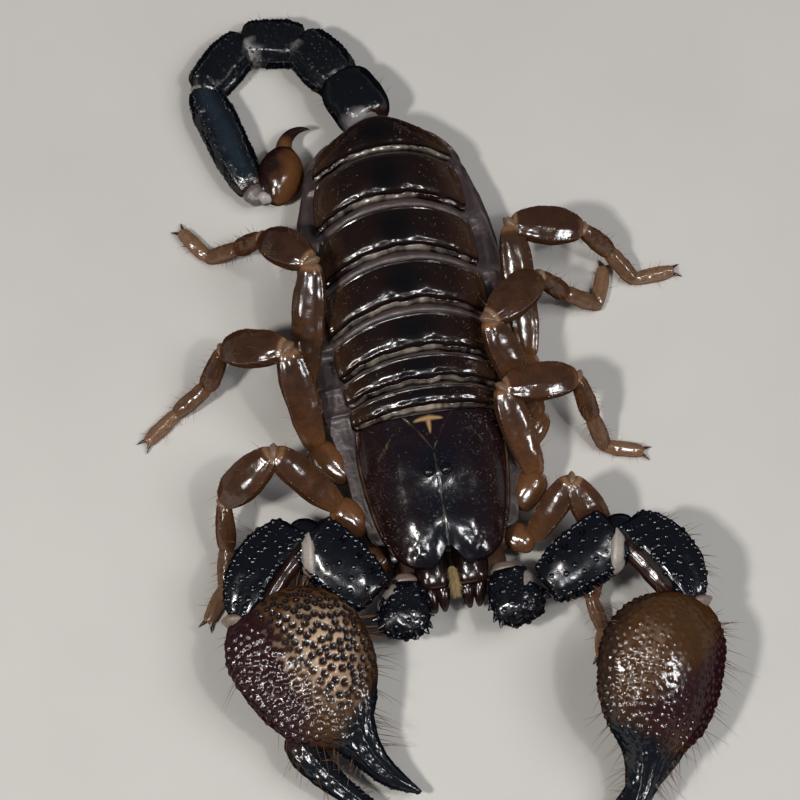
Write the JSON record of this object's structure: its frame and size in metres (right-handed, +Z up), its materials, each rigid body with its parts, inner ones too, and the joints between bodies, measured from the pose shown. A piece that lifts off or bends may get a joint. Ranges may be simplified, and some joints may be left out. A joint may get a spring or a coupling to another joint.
{
  "type": "scorpion",
  "caption": "Life-size scorpion in a still pose: broad pincers held forward, bent legs spread on the ground, plated back, and tail curled along the ground to one side.",
  "frame": {"origin": "The middle of the flat underside of sternite_3, the first belly plate, on the plane the animal rests on.", "axes": "+Z up, -Y towards the head, +Y towards the tail; the animal's own right side is at -X."},
  "size_m": [0.0576, 0.0902, 0.0126],
  "materials": {
    "shell": "glossy, near black with a purple-brown glow",
    "plate": "glossy, dark brown with pale thin edges",
    "belly": "satin, brown",
    "skin": "matt, finely wrinkled, grey-purple",
    "hips": "satin, brown",
    "eye": "polished black",
    "jaw": "glossy, dark brown",
    "tail": "glossy, blue-black, granular",
    "sting": "glossy, orange-brown",
    "thorn": "glossy, reddish black",
    "leg": "glossy, grey-brown to amber",
    "arm": "glossy, blue-black, granular",
    "pincer": "glossy, tan-brown to dark red, granular",
    "finger": "glossy, blue-black"
  },
  "bodies": {
    "root": {"carapace": "shell", "tergite_1": "plate", "tergite_2": "plate", "tergite_3": "plate", "tergite_4": "plate", "tergite_5": "plate", "tergite_6": "plate", "tergite_7": "plate", "sternite_3": "belly", "sternite_4": "belly", "sternite_5": "belly", "sternite_6": "belly", "sternite_7": "belly", "trunk_skin": "skin", "hips_and_combs": "hips", "median_eye_right": "eye", "chelicera_right": "jaw", "median_eye_left": "eye", "chelicera_left": "jaw", "metasoma_1": "tail", "metasoma_2": "tail", "metasoma_3": "tail", "metasoma_4": "tail", "metasoma_5": "tail", "vesicle": "sting", "aculeus": "thorn", "leg_left_1_thigh": "leg", "leg_left_1_knee": "leg", "leg_left_1_foot": "leg", "leg_left_2_thigh": "leg", "leg_left_2_knee": "leg", "leg_left_2_foot": "leg", "leg_left_3_thigh": "leg", "leg_left_3_knee": "leg", "leg_left_3_foot": "leg", "leg_left_4_thigh": "leg", "leg_left_4_knee": "leg", "leg_left_4_foot": "leg", "leg_right_1_thigh": "leg", "leg_right_1_knee": "leg", "leg_right_1_foot": "leg", "leg_right_2_thigh": "leg", "leg_right_2_knee": "leg", "leg_right_2_foot": "leg", "leg_right_3_thigh": "leg", "leg_right_3_knee": "leg", "leg_right_3_foot": "leg", "leg_right_4_thigh": "leg", "leg_right_4_knee": "leg", "leg_right_4_foot": "leg", "arm_right_knob": "arm", "arm_right_upper": "arm", "arm_right_fore": "arm", "pincer_right_palm": "pincer", "pincer_right_finger": "finger", "arm_left_knob": "arm", "arm_left_upper": "arm", "arm_left_fore": "arm", "pincer_left_palm": "pincer", "pincer_left_finger": "finger"}
  },
  "joints": []
}
